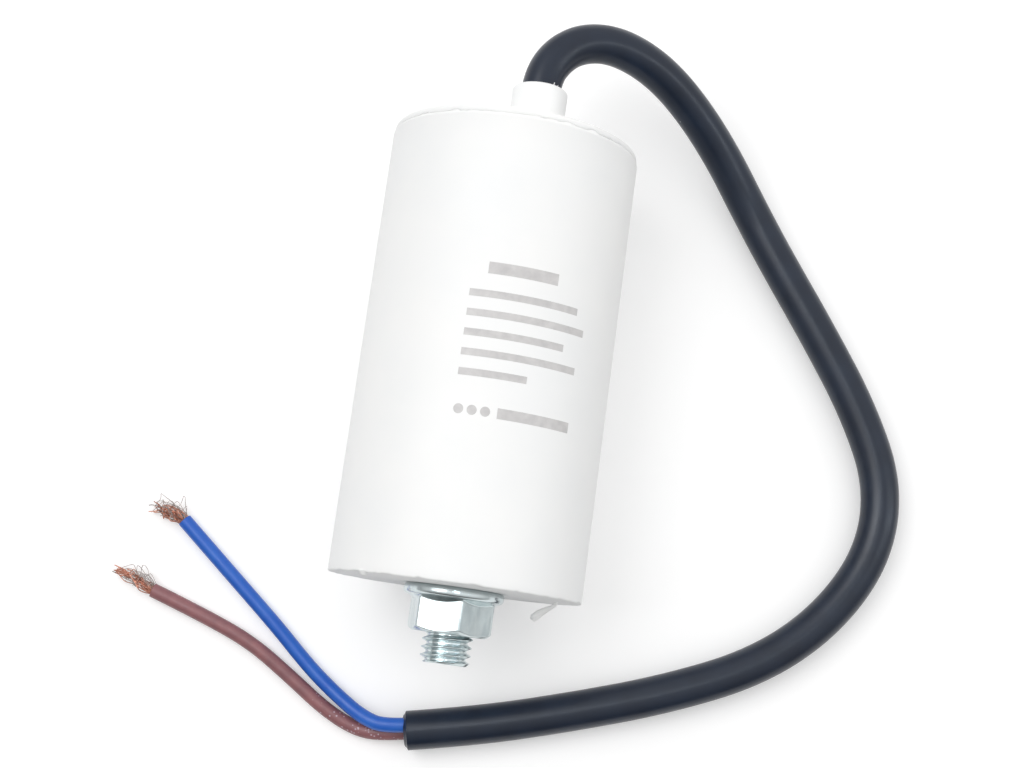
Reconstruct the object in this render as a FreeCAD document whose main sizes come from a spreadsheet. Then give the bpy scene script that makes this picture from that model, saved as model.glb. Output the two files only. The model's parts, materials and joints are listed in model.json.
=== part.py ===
import FreeCAD, Part

import math
import os

import Sketcher

# Motor start capacitor, lying on its side: the can's axis runs along Y, its stud points to -Y and its
# cable boss to +Y. The origin is on the surface it lies on, under the middle of the can, boss and stud.
# Each piece of the can is turned about the can's axis, with y measured from the can's outer floor.

# Driving dimensions in millimetres, apart from turns and angles in degrees and the ribs, which are counted.
SIZES = [
    ("case_diameter", 40.0, "outside of the can"),
    ("case_length", 71.2, "can's outer floor to its rim"),
    ("case_wall", 1.8, "side wall"),
    ("case_floor", 3.0, "floor at the stud end"),
    ("case_edge", 0.4, "bevel round the outer floor"),
    ("floor_round", 1.0, "inner corner of floor and wall"),
    ("shoulder_height", 0.5, "how far below the rim the wall starts to draw in"),
    ("shoulder_inset", 0.2, "how far it draws in at the rim"),
    ("hub_diameter", 24.0, "hub round the stud's head"),
    ("rib_count", 6, "ribs from the hub to the wall"),
    ("rib_thickness", 1.6, "one rib"),
    ("rib_height", 2.6, "rib above the floor"),
    ("lid_proud", 1.3, "lid's flange above the rim"),
    ("lid_round", 0.8, "edge of the lid's flange"),
    ("lid_plate", 2.4, "thickness of the lid's plate"),
    ("spigot_depth", 4.5, "lid's skirt below the rim"),
    ("spigot_wall", 1.6, "lid's skirt"),
    ("spigot_clearance", 0.1, "skirt to can, all round"),
    ("entry_x", 2.7, "cable boss beside the can's axis"),
    ("entry_z", 3.0, "cable boss above the can's axis"),
    ("boss_diameter", 9.0, "outside of the cable boss"),
    ("boss_height", 8.8, "boss above the lid"),
    ("boss_round", 0.7, "outer edge of the boss's mouth"),
    ("collar_width", 0.7, "collar at the foot of the boss, all round"),
    ("collar_height", 1.3, "collar above the lid"),
    ("mouth_bevel", 0.35, "inner edge of the boss's mouth"),
    ("bore_clearance", 0.15, "bore to cable, all round"),
    ("stud_diameter", 8.0, "M8 thread, outside"),
    ("shank_diameter", 7.19, "the thread's pitch diameter, and the plain shank it is rolled on"),
    ("thread_run", 0.3, "free thread's start beyond the nut"),
    ("stud_projection", 11.8, "stud beyond the can's outer floor"),
    ("stud_bevel", 0.6, "start of the thread"),
    ("stud_clearance", 0.1, "thread to floor hole, all round"),
    ("head_across", 13.0, "stud's hexagon head across flats"),
    ("head_height", 5.3, "stud's hexagon head"),
    ("head_clearance", 0.1, "head to its pocket, each side"),
    ("nut_across", 12.0, "nut across flats"),
    ("nut_height", 7.2, "nut with its flange"),
    ("nut_turn", -17.5, "turn of the nut's upper flat about the stud"),
    ("nut_clearance", 0.05, "nut to shank, all round, at the threads' pitch diameter"),
    ("nut_bevel_start", 0.25, "bevel's start inside the nut's flats"),
    ("nut_bevel_angle", 30.0, "bevel of the nut's corners"),
    ("nut_entry", 0.6, "countersink of the nut's thread"),
    ("flange_diameter", 15.8, "nut's flange"),
    ("flange_rim", 1.6, "flange at its rim"),
    ("flange_height", 2.4, "flange where it meets the flats"),
    ("flange_round", 0.6, "rim's lower edge"),
    ("insulator_plate", 1.0, "base insulator under its pocket"),
    ("insulator_pocket", 1.6, "depth of its pocket"),
    ("pocket_clearance", 1.2, "its pocket's wall beyond the blue solder joint"),
    ("potting_wall", 1.1, "resin between the roll's sleeve and the can"),
    ("potting_cover", 5.9, "resin over the roll's upper zinc layer"),
    ("spray_thickness", 0.6, "zinc layer on each face of the roll"),
    ("mandrel_diameter", 8.6, "tube in the roll"),
    ("mandrel_bore", 5.4, "its bore"),
    ("wrap_thickness", 0.4, "sleeve round the roll"),
    ("potting_depth", 5.5, "resin's surface below the rim"),
    ("jacket_diameter", 6.4, "cable sheath"),
    ("jacket_tail", 2.0, "sheath inside the lid's plate"),
    ("core_diameter", 2.4, "insulated core"),
    ("core_lean", 60.0, "tilt of the line through both cores at the cut end"),
    ("core_first_run", 3.6, "straight start of each core"),
    ("core_gap", 0.05, "half the gap between the cores where they leave the sheath"),
    ("conductor_diameter", 1.2, "copper of one core"),
    ("strand_spread", 2.2, "width of the bare strands"),
    ("strand_length", 8.2, "bare strands"),
    ("strand_swell", 2.9, "length over which they spread and close"),
    ("strand_tip", 0.85, "width of their tips"),
    ("lead_drop", 2.4, "straight start of the blue lead inside the can"),
    ("lead_slope", 3.2, "height over which the blue lead crosses to the mandrel"),
    ("lead_stop", 2.0, "blue insulation's end above the lower zinc"),
    ("lead_reach", 4.4, "brown insulation beyond its bend"),
    ("lead_lift", 0.2, "brown insulation above the upper zinc"),
    ("conductor_gap", 0.15, "blue conductor below the lower zinc"),
    ("lower_joint_x", 6.3, "blue solder joint beside the can's axis"),
    ("upper_joint_reach", 2.6, "brown solder joint beyond its insulation"),
    ("joint_diameter", 4.0, "solder joint"),
    ("lower_joint_height", 1.45, "blue solder joint"),
    ("upper_joint_height", 2.1, "brown solder joint"),
]

# Routes of the cable and its cores, in millimetres. The last number of each point is how far the cord's
# underside is above the surface. The cable's first point is in the mouth of the boss, straight above the
# bore, and the cores' first two points follow from the cable's cut end.
CABLE_ROUTE = [
    (2.7, 44.8, 19.8), (2.7, 48.8, 19.8), (4.9, 53.1, 19.4), (8.4, 56.2, 18.3), (12.7, 57.5, 16.8),
    (17.8, 56.9, 14.6), (23.5, 54.6, 11.3), (29.5, 50.3, 7.3), (35.5, 44.5, 3.2), (41.0, 37.3, 0.4),
    (46.5, 29.3, 0.0), (55.5, 16.8, 0.0), (63.5, 4.8, 0.0), (69.0, -7.2, 0.0), (68.5, -19.2, 0.0),
    (62.0, -30.7, 0.0), (51.5, -40.0, 0.0), (36.5, -46.7, 0.0), (20.0, -52.0, 0.0), (6.0, -55.9, 0.0),
    (-4.8, -58.1, 0.0),
]
BLUE_ROUTE = [
    (-12.6, -57.4, 1.8), (-17.0, -55.2, 0.6), (-22.5, -51.0, 0.0), (-29.0, -44.4, 0.0),
    (-37.0, -37.4, 0.0), (-46.3, -29.5, 0.0),
]
BROWN_ROUTE = [
    (-13.0, -59.7, 0.1), (-19.0, -57.1, 0.0), (-25.5, -52.6, 0.0), (-32.5, -47.9, 0.0),
    (-41.0, -44.3, 0.0), (-50.1, -41.1, 0.0),
]
ARC_SHARE = 0.45
VOLUME_TOLERANCE = 0.002

# How far a cutting profile runs past the faces that it cuts.
OVERCUT = 0.5

SIX_SIDES = 6

X = FreeCAD.Vector(1, 0, 0)
Y = FreeCAD.Vector(0, 1, 0)
Z = FreeCAD.Vector(0, 0, 1)

doc = FreeCAD.newDocument("motor_start_capacitor")


def make_sheet():
    """The driving dimensions, one row each: name, value and what it measures."""
    table = doc.addObject("Spreadsheet::Sheet", "Sizes")
    for row, (name, number, words) in enumerate(SIZES, start=1):
        table.set(f"A{row}", name)
        table.set(f"B{row}", str(number))
        table.set(f"C{row}", words)
        table.setAlias(f"B{row}", name)
    doc.recompute()
    return table


sheet = make_sheet()


def size(name):
    """The sheet's cell of that name, for use in an expression."""
    return f"Sizes.{name}"


def number(expression):
    """What an expression on the sheet comes to."""
    return float(sheet.evalExpression(expression.replace("Sizes.", "")))


# Places and radii worked out from the driving dimensions, as expressions.
CASE_RADIUS = f"({size('case_diameter')} / 2)"
CASE_INNER = f"({CASE_RADIUS} - {size('case_wall')})"
FLOOR_TOP = size("case_floor")
HUB_RADIUS = f"({size('hub_diameter')} / 2)"
HUB_TOP = f"({FLOOR_TOP} + {size('head_height')})"
RIM = size("case_length")
LID_TOP = f"({RIM} + {size('lid_proud')})"
PLATE_UNDER = f"({LID_TOP} - {size('lid_plate')})"
BOSS_RADIUS = f"({size('boss_diameter')} / 2)"
BOSS_TOP = f"({LID_TOP} + {size('boss_height')})"
STUD_RADIUS = f"({size('stud_diameter')} / 2)"
SHANK_RADIUS = f"({size('shank_diameter')} / 2)"
POCKET_FLOOR = f"({HUB_TOP} + {size('insulator_plate')})"
POCKET_RADIUS = f"({size('lower_joint_x')} + {size('joint_diameter')} / 2 + {size('pocket_clearance')})"
PACK_UNDER = f"({POCKET_FLOOR} + {size('insulator_pocket')})"
ROLL_UNDER = f"({PACK_UNDER} + {size('spray_thickness')})"
RESIN_TOP = f"({RIM} - {size('potting_depth')})"
PACK_TOP = f"({RESIN_TOP} - {size('potting_cover')})"
ROLL_TOP = f"({PACK_TOP} - {size('spray_thickness')})"
PACK_RADIUS = f"({CASE_INNER} - {size('potting_wall')})"
ROLL_RADIUS = f"({PACK_RADIUS} - {size('wrap_thickness')})"
MANDREL_RADIUS = f"({size('mandrel_diameter')} / 2)"
TAIL_END = f"({PLATE_UNDER} - {size('jacket_tail')})"
CORE_OFFSET = f"({size('core_diameter')} / 2 + {size('core_gap')})"
BROWN_LEAD_END = f"({size('entry_x')} + {CORE_OFFSET} + {size('lead_reach')})"
BROWN_JOINT_X = f"({BROWN_LEAD_END} + {size('upper_joint_reach')})"

# The can's outer floor along Y: stud and boss reach equally far from the origin.
FLOOR_Y = f"(({size('stud_projection')} - {BOSS_TOP}) / 2)"


def place_in_can(piece):
    """Puts a piece that is drawn about the can's axis where the can lies."""
    piece.setExpression("Placement.Base.y", FLOOR_Y)
    piece.setExpression("Placement.Base.z", CASE_RADIUS)


def new_body(name):
    body = doc.addObject("PartDesign::Body", name)
    body.Label = name
    place_in_can(body)
    return body


def new_sketch(body, name, plane_role, beside="0", along="0", above="0"):
    """An empty sketch on one of the body's own planes, moved by expressions in the plane's directions."""
    sketch = body.newObject("Sketcher::SketchObject", name)
    planes = [item for item in body.Origin.OriginFeatures if item.Role == plane_role]
    sketch.AttachmentSupport = [(planes[0], "")]
    sketch.MapMode = "FlatFace"
    sketch.setExpression("AttachmentOffset.Base.x", beside)
    sketch.setExpression("AttachmentOffset.Base.y", along)
    sketch.setExpression("AttachmentOffset.Base.z", above)
    return sketch


def bind(sketch, constraint, expression):
    """Adds a dimension to a sketch and ties it to the sheet."""
    index = sketch.addConstraint(constraint)
    sketch.setExpression(f"Constraints[{index}]", expression)


def bind_point(sketch, line, end, x, y):
    """Fixes one end of a line or arc at the expressions x and y from the sketch's origin."""
    if x == "0":
        sketch.addConstraint(Sketcher.Constraint("PointOnObject", line, end, -2))
    else:
        bind(sketch, Sketcher.Constraint("DistanceX", -1, 1, line, end, number(x)), x)
    if y == "0":
        sketch.addConstraint(Sketcher.Constraint("PointOnObject", line, end, -1))
    else:
        bind(sketch, Sketcher.Constraint("DistanceY", -1, 1, line, end, number(y)), y)


def arc_between(start, end, radius, left):
    """The short arc from start to end whose centre is to the left or right of the way."""
    chord = end - start
    middle = (start + end) / 2
    across = Z.cross(chord).normalize()
    reach = math.sqrt(max(radius**2 - (chord.Length / 2) ** 2, 0.0))
    centre = middle + across * (reach if left else -reach)
    circle = Part.Circle(centre, Z, radius)
    first, last = (start, end) if left else (end, start)
    return Part.ArcOfCircle(circle, circle.parameter(first), circle.parameter(last))


def draw_outline(sketch, corners):
    """A closed outline with every corner and arc tied to the sheet.

    A corner is (x, y), or (x, y, radius, "left" or "right") where an arc leads to the next corner.
    """
    points = [FreeCAD.Vector(number(corner[0]), number(corner[1]), 0) for corner in corners]
    ends = []
    for index, corner in enumerate(corners):
        start = points[index]
        end = points[(index + 1) % len(points)]
        if len(corner) == 2:
            line = sketch.addGeometry(Part.LineSegment(start, end))
            ends.append((line, 1, 2))
            continue
        radius, side = corner[2:]
        left = side == "left"
        line = sketch.addGeometry(arc_between(start, end, number(radius), left))
        ends.append((line, 1, 2) if left else (line, 2, 1))
    for index, (line, first, last) in enumerate(ends):
        following, its_first, _ = ends[(index + 1) % len(ends)]
        sketch.addConstraint(Sketcher.Constraint("Coincident", line, last, following, its_first))
    for corner, (line, first, _) in zip(corners, ends):
        bind_point(sketch, line, first, corner[0], corner[1])
    for corner, (line, _, _) in zip(corners, ends):
        if len(corner) > 2:
            bind(sketch, Sketcher.Constraint("Radius", line, number(corner[2])), corner[2])


def draw_hexagon(sketch, across):
    """A hexagon about the sketch's origin, with two flats parallel to its x axis."""
    corner_radius = f"({across} / 2 / cos(30))"
    reach = number(across) / 2 / math.cos(math.pi / SIX_SIDES)
    ring = sketch.addGeometry(Part.Circle(FreeCAD.Vector(0, 0, 0), Z, reach), True)
    sketch.addConstraint(Sketcher.Constraint("Coincident", ring, 3, -1, 1))
    bind(sketch, Sketcher.Constraint("Radius", ring, reach), corner_radius)
    turns = [2 * math.pi * step / SIX_SIDES for step in range(SIX_SIDES + 1)]
    points = [FreeCAD.Vector(reach * math.cos(turn), reach * math.sin(turn), 0) for turn in turns]
    sides = [sketch.addGeometry(Part.LineSegment(a, b)) for a, b in zip(points, points[1:])]
    for side, following in zip(sides, sides[1:] + sides[:1]):
        sketch.addConstraint(Sketcher.Constraint("Coincident", side, 2, following, 1))
    for side in sides:
        sketch.addConstraint(Sketcher.Constraint("PointOnObject", side, 1, ring))
    for side in sides[1:]:
        sketch.addConstraint(Sketcher.Constraint("Equal", sides[0], side))
    sketch.addConstraint(Sketcher.Constraint("PointOnObject", sides[0], 1, -1))


def add_turned(body, name, corners, beside="0", above="0"):
    """Turns an outline about the sketch's own vertical axis, parallel to the can's."""
    sketch = new_sketch(body, f"{name}_outline", "XY_Plane", beside=beside, above=above)
    draw_outline(sketch, corners)
    turned = body.newObject("PartDesign::Revolution", name)
    turned.Profile = sketch
    turned.ReferenceAxis = (sketch, ["V_Axis"])
    turned.Angle = 360
    body.Tip = turned
    return turned


def cut_turned(body, name, corners, beside="0", above="0"):
    """Turns an outline in the same way and takes it off the body."""
    sketch = new_sketch(body, f"{name}_outline", "XY_Plane", beside=beside, above=above)
    draw_outline(sketch, corners)
    doc.recompute()
    before = body.Shape.Volume
    groove = body.newObject("PartDesign::Groove", name)
    groove.Profile = sketch
    groove.ReferenceAxis = (sketch, ["V_Axis"])
    groove.Angle = 360
    body.Tip = groove
    doc.recompute()
    check_cut(name, before, body.Shape.Volume)


def check_cut(name, before, after):
    if not after < before:
        raise RuntimeError(f"{name} took nothing off")


def turned_body(name, corners, beside="0", above="0"):
    body = new_body(name)
    add_turned(body, f"{name}_turned", corners, beside, above)
    return body


def ring_body(name, inner, outer, under, top):
    """A plain ring about the can's axis."""
    return turned_body(name, [(inner, under), (outer, under), (outer, top), (inner, top)])


def make_case():
    """The can: side wall with a drawn-in shoulder, thick floor, hub with a hexagon pocket, ribs."""
    hole = f"({STUD_RADIUS} + {size('stud_clearance')})"
    edge = size("case_edge")
    rounding = size("floor_round")
    height = size("shoulder_height")
    inset = size("shoulder_inset")
    shoulder = f"(({height} * {height} + {inset} * {inset}) / (2 * {inset}))"
    body = new_body("case")
    add_turned(
        body,
        "case_turned",
        [
            (hole, "0"),
            (f"({CASE_RADIUS} - {edge})", "0"),
            (CASE_RADIUS, edge),
            (CASE_RADIUS, f"({RIM} - {height})", shoulder, "left"),
            (f"({CASE_RADIUS} - {inset})", RIM),
            (CASE_INNER, RIM),
            (CASE_INNER, f"({FLOOR_TOP} + {rounding})", rounding, "right"),
            (f"({CASE_INNER} - {rounding})", FLOOR_TOP),
            (HUB_RADIUS, FLOOR_TOP),
            (HUB_RADIUS, HUB_TOP),
            (hole, HUB_TOP),
        ],
    )
    rib = new_sketch(body, "rib_outline", "XZ_Plane", above=f"-{FLOOR_TOP}")
    half = f"({size('rib_thickness')} / 2)"
    draw_outline(
        rib,
        [
            (f"({HUB_RADIUS} - {OVERCUT})", f"-{half}"),
            (f"({CASE_INNER} + {OVERCUT})", f"-{half}"),
            (f"({CASE_INNER} + {OVERCUT})", half),
            (f"({HUB_RADIUS} - {OVERCUT})", half),
        ],
    )
    pad = body.newObject("PartDesign::Pad", "rib")
    pad.Profile = rib
    pad.setExpression("Length", size("rib_height"))
    pad.Reversed = True
    ribs = body.newObject("PartDesign::PolarPattern", "ribs")
    ribs.Originals = [pad]
    ribs.Axis = (doc.getObject("case_turned_outline"), ["V_Axis"])
    ribs.Angle = 360
    ribs.setExpression("Occurrences", size("rib_count"))
    body.Tip = ribs
    doc.recompute()
    before = body.Shape.Volume
    pocket_sketch = new_sketch(body, "head_pocket_outline", "XZ_Plane", above=f"-{HUB_TOP}")
    draw_hexagon(pocket_sketch, f"({size('head_across')} + 2 * {size('head_clearance')})")
    pocket = body.newObject("PartDesign::Pocket", "head_pocket")
    pocket.Profile = pocket_sketch
    pocket.setExpression("Length", size("head_height"))
    pocket.Reversed = True
    body.Tip = pocket
    doc.recompute()
    check_cut("head_pocket", before, body.Shape.Volume)
    return body


def make_lid():
    """The lid: a plate whose flange sits on the rim, a skirt inside the can, and the cable boss."""
    skirt = f"({CASE_INNER} - {size('spigot_clearance')})"
    skirt_inner = f"({skirt} - {size('spigot_wall')})"
    skirt_end = f"({RIM} - {size('spigot_depth')})"
    flange = f"({CASE_RADIUS} - {size('shoulder_inset')})"
    edge = size("lid_round")
    body = new_body("lid")
    add_turned(
        body,
        "lid_plate_turned",
        [
            ("0", PLATE_UNDER),
            (skirt_inner, PLATE_UNDER),
            (skirt_inner, skirt_end),
            (skirt, skirt_end),
            (skirt, RIM),
            (flange, RIM),
            (flange, f"({LID_TOP} - {edge})", edge, "left"),
            (f"({flange} - {edge})", LID_TOP),
            ("0", LID_TOP),
        ],
    )
    entry = {"beside": size("entry_x"), "above": size("entry_z")}
    mouth = size("boss_round")
    foot = f"({LID_TOP} - {OVERCUT})"
    collar = f"({BOSS_RADIUS} + {size('collar_width')})"
    collar_top = f"({LID_TOP} + {size('collar_height')})"
    add_turned(
        body,
        "boss_turned",
        [
            ("0", foot),
            (collar, foot),
            (collar, collar_top),
            (BOSS_RADIUS, collar_top),
            (BOSS_RADIUS, f"({BOSS_TOP} - {mouth})", mouth, "left"),
            (f"({BOSS_RADIUS} - {mouth})", BOSS_TOP),
            ("0", BOSS_TOP),
        ],
        **entry,
    )
    bore = f"({size('jacket_diameter')} / 2 + {size('bore_clearance')})"
    bevel = size("mouth_bevel")
    cut_turned(
        body,
        "boss_bore",
        [
            ("0", f"({PLATE_UNDER} - {OVERCUT})"),
            (bore, f"({PLATE_UNDER} - {OVERCUT})"),
            (bore, f"({BOSS_TOP} - {bevel})"),
            (f"({bore} + {bevel})", BOSS_TOP),
            (f"({bore} + {bevel})", f"({BOSS_TOP} + {OVERCUT})"),
            ("0", f"({BOSS_TOP} + {OVERCUT})"),
        ],
        **entry,
    )
    return body


def make_stud():
    """The fixing stud: a plain shank through floor and nut, its free thread, and the hexagon head.

    The free thread is drawn at its outside size. Inside the nut the two threads share their depth, so
    stud and nut meet there at the pitch diameter.
    """
    bevel = size("stud_bevel")
    end = size("stud_projection")
    thread_start = f"(-{size('nut_height')} - {size('thread_run')})"
    body = new_body("mounting_stud")
    add_turned(
        body,
        "shank",
        [
            ("0", f"(-{end})"),
            (f"({STUD_RADIUS} - {bevel})", f"(-{end})"),
            (STUD_RADIUS, f"({bevel} - {end})"),
            (STUD_RADIUS, thread_start),
            (SHANK_RADIUS, thread_start),
            (SHANK_RADIUS, FLOOR_TOP),
            ("0", FLOOR_TOP),
        ],
    )
    head_sketch = new_sketch(body, "head_outline", "XZ_Plane", above=f"-{FLOOR_TOP}")
    draw_hexagon(head_sketch, size("head_across"))
    head = body.newObject("PartDesign::Pad", "head")
    head.Profile = head_sketch
    head.setExpression("Length", size("head_height"))
    head.Reversed = True
    body.Tip = head
    return body


def make_nut():
    """The flange nut: a cone-backed flange on the can's floor, a hexagon with bevelled corners, a bore."""
    body = new_body("flange_nut")
    flange = f"({size('flange_diameter')} / 2)"
    flat = f"({size('nut_across')} / 2)"
    rounding = size("flange_round")
    height = size("nut_height")
    body.Placement = FreeCAD.Placement(FreeCAD.Vector(), FreeCAD.Rotation(Y, number(size("nut_turn"))))
    add_turned(
        body,
        "flange_turned",
        [
            ("0", f"(-{size('flange_height')})"),
            (flat, f"(-{size('flange_height')})"),
            (flange, f"(-{size('flange_rim')})"),
            (flange, f"(-{rounding})", rounding, "left"),
            (f"({flange} - {rounding})", "0"),
            ("0", "0"),
        ],
    )
    hexagon_sketch = new_sketch(body, "nut_outline", "XZ_Plane")
    draw_hexagon(hexagon_sketch, size("nut_across"))
    hexagon = body.newObject("PartDesign::Pad", "nut_hexagon")
    hexagon.Profile = hexagon_sketch
    hexagon.setExpression("Length", height)
    body.Tip = hexagon
    start = f"({flat} - {size('nut_bevel_start')})"
    outside = f"({flat} / cos(30) + {OVERCUT})"
    depth = f"(({outside} - {start}) * tan({size('nut_bevel_angle')}))"
    cut_turned(
        body,
        "nut_bevel",
        [
            (start, f"(-{height} - {OVERCUT})"),
            (outside, f"(-{height} - {OVERCUT})"),
            (outside, f"({depth} - {height})"),
            (start, f"(-{height})"),
        ],
    )
    bore = f"({SHANK_RADIUS} + {size('nut_clearance')})"
    entry = size("nut_entry")
    cut_turned(
        body,
        "nut_bore",
        [
            ("0", f"(-{height} - {OVERCUT})"),
            (f"({bore} + {entry})", f"(-{height} - {OVERCUT})"),
            (f"({bore} + {entry})", f"(-{height})"),
            (bore, f"({entry} - {height})"),
            (bore, f"{OVERCUT}"),
            ("0", f"{OVERCUT}"),
        ],
    )
    return body


def make_winding_pack():
    """Base insulator, zinc layers, film roll, mandrel and sleeve, stacked on the hub."""
    turned_body(
        "base_insulator",
        [
            ("0", HUB_TOP),
            (PACK_RADIUS, HUB_TOP),
            (PACK_RADIUS, PACK_UNDER),
            (POCKET_RADIUS, PACK_UNDER),
            (POCKET_RADIUS, POCKET_FLOOR),
            ("0", POCKET_FLOOR),
        ],
    )
    ring_body("lower_end_spray", MANDREL_RADIUS, ROLL_RADIUS, PACK_UNDER, ROLL_UNDER)
    ring_body("winding", MANDREL_RADIUS, ROLL_RADIUS, ROLL_UNDER, ROLL_TOP)
    ring_body("upper_end_spray", MANDREL_RADIUS, ROLL_RADIUS, ROLL_TOP, PACK_TOP)
    ring_body("mandrel", f"({size('mandrel_bore')} / 2)", MANDREL_RADIUS, PACK_UNDER, PACK_TOP)
    ring_body("outer_wrap", ROLL_RADIUS, PACK_RADIUS, PACK_UNDER, PACK_TOP)


def route_wire(points, run_back=0.0):
    """Straight runs joined by tangent arcs, each as large as its two runs allow, and the arcs' radii.

    run_back lengthens the first run backwards, for the stretch that is held straight in a bore.
    """
    edges = []
    radii = []
    first = (points[1] - points[0]).normalize()
    here = points[0] - first * run_back
    for before, corner, after in zip(points, points[1:], points[2:]):
        way_in = (corner - before).normalize()
        way_out = (after - corner).normalize()
        turn = way_in.getAngle(way_out)
        reach = ARC_SHARE * min((corner - before).Length, (after - corner).Length)
        radius = reach / math.tan(turn / 2)
        start = corner - way_in * reach
        end = corner + way_out * reach
        inward = (way_out - way_in).normalize()
        middle = corner + inward * (radius / math.cos(turn / 2) - radius)
        edges.append(Part.LineSegment(here, start).toShape())
        edges.append(Part.Arc(start, middle, end).toShape())
        radii.append(radius)
        here = end
    edges.append(Part.LineSegment(here, points[-1]).toShape())
    return Part.Wire(edges), radii


def tube(name, points, diameter, run_back=0.0):
    """A round solid along a route, checked against its section times its length."""
    wire, radii = route_wire(points, run_back)
    start = wire.Edges[0].valueAt(wire.Edges[0].FirstParameter)
    direction = points[1] - points[0]
    section = Part.Wire([Part.Circle(start, direction, diameter / 2).toShape()])
    solid = wire.makePipeShell([section], True, False)
    expected = math.pi * diameter**2 / 4 * wire.Length
    if abs(solid.Volume - expected) > VOLUME_TOLERANCE * expected:
        raise RuntimeError(f"{name}: volume {solid.Volume:.2f}, expected {expected:.2f}")
    tightest = min(radii)
    print(f"{name}: length {wire.Length:.1f}, volume {solid.Volume:.1f} of {expected:.1f}")
    print(f"  radii {[round(radius, 1) for radius in radii]}, tightest {tightest / diameter:.1f} diameters")
    return solid


def add_tube(name, points, diameter, run_back=0.0):
    piece = doc.addObject("Part::Feature", name)
    piece.Label = name
    piece.Shape = tube(name, points, diameter, run_back)
    return piece


def add_can_tube(name, points, diameter):
    """A tube whose route is measured in the can, as its turned pieces are."""
    piece = add_tube(name, points, diameter)
    piece.Placement = FreeCAD.Placement()
    place_in_can(piece)
    return piece


def lifted(route, diameter):
    """A route's points at the cord's middle."""
    return [FreeCAD.Vector(x, y, lift + diameter / 2) for x, y, lift in route]


def make_leads():
    """The cores' inner ends: blue goes down the mandrel, brown bends over the upper zinc."""
    core = number(size("core_diameter"))
    conductor = number(size("conductor_diameter"))
    entry_x = number(size("entry_x"))
    entry_z = number(size("entry_z"))
    apart = number(CORE_OFFSET)
    top = number(TAIL_END)
    blue_turn = top - number(size("lead_drop"))
    blue_cross = blue_turn - number(size("lead_slope"))
    blue_stop = number(ROLL_UNDER) + number(size("lead_stop"))
    blue_x = entry_x - apart
    blue = [
        FreeCAD.Vector(blue_x, top, entry_z),
        FreeCAD.Vector(blue_x, blue_turn, entry_z),
        FreeCAD.Vector(0, blue_cross, 0),
        FreeCAD.Vector(0, blue_stop, 0),
    ]
    add_can_tube("blue_lead", blue, core)
    lower_y = number(PACK_UNDER) - number(size("conductor_gap")) - conductor / 2
    lower_x = number(size("lower_joint_x"))
    blue_end = [
        FreeCAD.Vector(0, blue_stop, 0),
        FreeCAD.Vector(0, lower_y, 0),
        FreeCAD.Vector(lower_x, lower_y, 0),
    ]
    add_can_tube("blue_lead_conductor", blue_end, conductor)
    brown_x = entry_x + apart
    brown_y = number(PACK_TOP) + core / 2 + number(size("lead_lift"))
    brown_stop = number(BROWN_LEAD_END)
    brown = [
        FreeCAD.Vector(brown_x, top, entry_z),
        FreeCAD.Vector(brown_x, brown_y, entry_z),
        FreeCAD.Vector(brown_stop, brown_y, entry_z),
    ]
    add_can_tube("brown_lead", brown, core)
    bare = doc.addObject("Part::Cylinder", "brown_lead_conductor")
    bare.Label = "brown_lead_conductor"
    bare.setExpression("Radius", f"{size('conductor_diameter')} / 2")
    bare.setExpression("Height", size("upper_joint_reach"))
    turn = FreeCAD.Rotation(Z, X)
    lead_middle = f"{PACK_TOP} + {size('core_diameter')} / 2 + {size('lead_lift')}"
    bare.Placement = FreeCAD.Placement(FreeCAD.Vector(), turn)
    bare.setExpression("Placement.Base.x", BROWN_LEAD_END)
    bare.setExpression("Placement.Base.y", f"{FLOOR_Y} + {lead_middle}")
    bare.setExpression("Placement.Base.z", f"{CASE_RADIUS} + {size('entry_z')}")


def make_solder_joint(name, x, z, base, height, conductor):
    """A domed joint on a zinc face, height above it (or below, where negative), with its conductor's room."""
    half = f"({size('joint_diameter')} / 2)"
    tall = f"abs({height})"
    ball = f"(({half} * {half} + {tall} * {tall}) / (2 * {tall}))"
    top = f"({base} + {height})"
    rising = number(height) > 0
    if rising:
        corners = [("0", base), (half, base, ball, "left"), ("0", top)]
    else:
        corners = [("0", top, ball, "left"), (half, base), ("0", base)]
    dome = turned_body(f"{name}_dome", corners, beside=x, above=z)
    joint = doc.addObject("Part::Cut", name)
    joint.Label = name
    joint.Base = dome
    joint.Tool = doc.getObject(conductor)
    return joint


def make_potting(held):
    """The resin: fills the can round the winding pack, and takes the shape of all that it holds."""
    blank = turned_body(
        "potting_blank",
        [
            (HUB_RADIUS, FLOOR_TOP),
            (CASE_INNER, FLOOR_TOP),
            (CASE_INNER, RESIN_TOP),
            ("0", RESIN_TOP),
            ("0", PACK_TOP),
            (PACK_RADIUS, PACK_TOP),
            (PACK_RADIUS, HUB_TOP),
            (HUB_RADIUS, HUB_TOP),
        ],
    )
    tools = doc.addObject("Part::MultiFuse", "potting_holds")
    tools.Shapes = [doc.getObject(name) for name in held]
    potting = doc.addObject("Part::Cut", "potting")
    potting.Label = "potting"
    potting.Base = blank
    potting.Tool = tools
    return potting


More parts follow.
